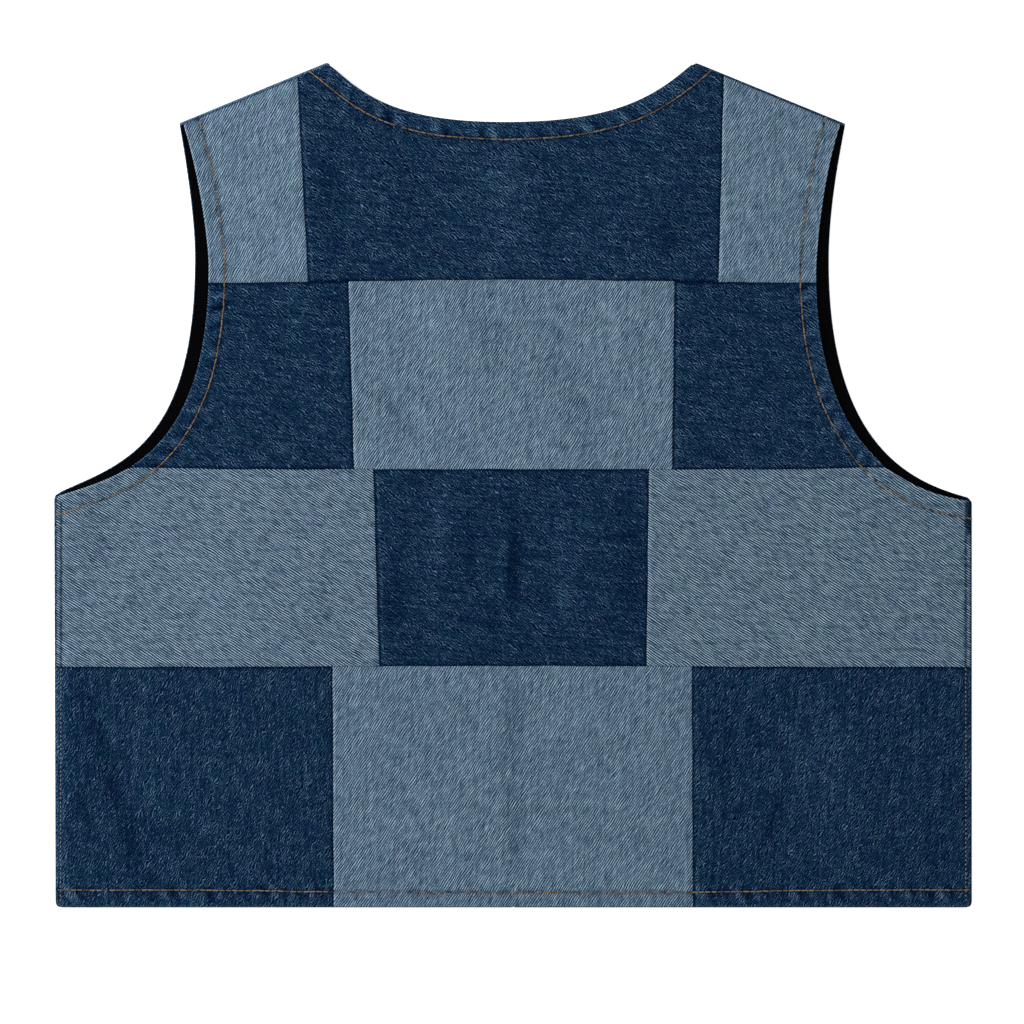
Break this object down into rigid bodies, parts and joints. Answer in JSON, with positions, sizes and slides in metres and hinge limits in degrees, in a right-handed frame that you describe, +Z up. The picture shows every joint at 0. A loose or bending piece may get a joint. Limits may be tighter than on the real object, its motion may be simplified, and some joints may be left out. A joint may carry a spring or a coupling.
{
  "type": "denim gilet",
  "caption": "Sleeveless cropped denim gilet in light and dark patchwork, laid flat with its back up on edge-to-edge fronts, with a black front lining showing at the armholes.",
  "frame": {"origin": "on the surface it lies on, under the middle of the laid garment", "axes": "+X to the right of the back as it is seen, +Y towards the neck, +Z up out of the back"},
  "size_m": [0.52, 0.479, 0.0045],
  "materials": {
    "light_denim": "washed twill, matt",
    "dark_denim": "indigo twill, matt",
    "black_lining": "plain weave, matt",
    "ochre_thread": "twisted polyester, satin"
  },
  "bodies": {
    "root": {"back_hem_left": "dark_denim", "back_hem_centre": "light_denim", "back_hem_right": "dark_denim", "back_waist_left": "light_denim", "back_waist_centre": "dark_denim", "back_waist_right": "light_denim", "back_chest_left": "dark_denim", "back_chest_centre": "light_denim", "back_chest_right": "dark_denim", "back_shoulder_left": "light_denim", "back_shoulder_centre": "dark_denim", "back_shoulder_right": "light_denim", "front_left": "dark_denim", "front_right": "dark_denim", "lining_front_left": "black_lining", "lining_front_right": "black_lining"}
  },
  "joints": []
}
